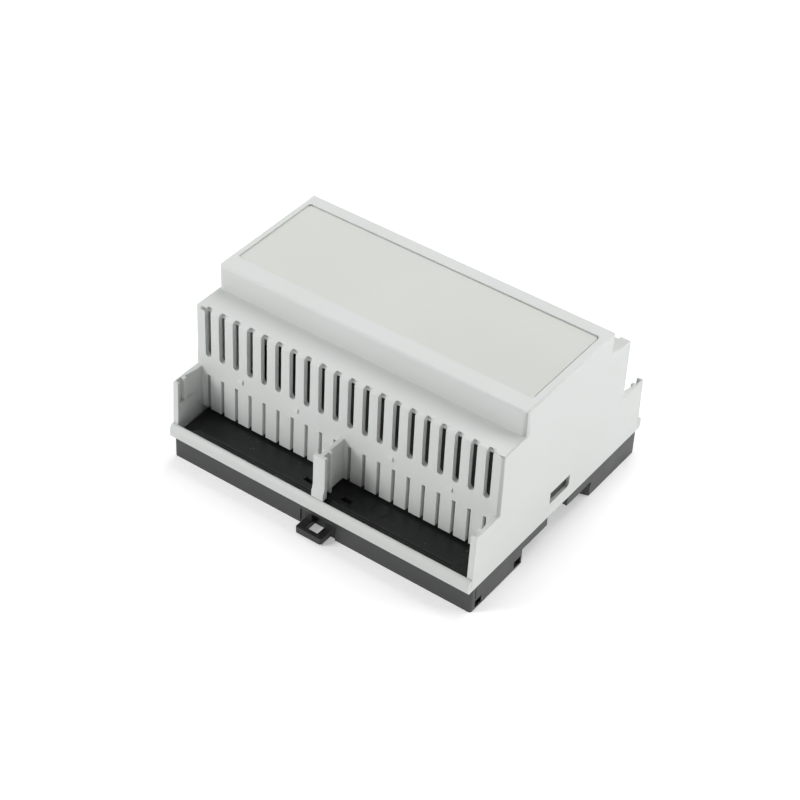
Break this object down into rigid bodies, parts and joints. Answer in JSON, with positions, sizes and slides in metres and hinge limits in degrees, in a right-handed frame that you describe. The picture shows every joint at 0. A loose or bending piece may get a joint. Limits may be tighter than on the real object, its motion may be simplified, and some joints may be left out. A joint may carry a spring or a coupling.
{
  "type": "din rail enclosure",
  "caption": "Stepped, vented plastic enclosure for a mounting rail, with open terminal bays, a clipped-in front panel, a latched base and a sliding rail clip.",
  "frame": {"origin": "centre of the enclosure on the seat that lies on the rail's flanges", "axes": "+X along the rail, -Y towards the clip side, +Z away from the rail"},
  "size_m": [0.106, 0.0927, 0.058],
  "materials": {
    "housing_plastic": "fine spark-eroded texture, light grey",
    "panel_plastic": "fine spark-eroded texture, light grey, slightly warmer",
    "base_plastic": "moulded satin, near black",
    "clip_plastic": "moulded satin, black"
  },
  "bodies": {
    "enclosure": {"housing": "housing_plastic", "front_panel": "panel_plastic", "base": "base_plastic"},
    "clip": {"rail_clip": "clip_plastic"}
  },
  "joints": [
    {"name": "clip_slide", "type": "slide", "parent": "enclosure", "child": "clip", "axis": [0, -1, 0], "range_m": [0, 0.0045]}
  ]
}
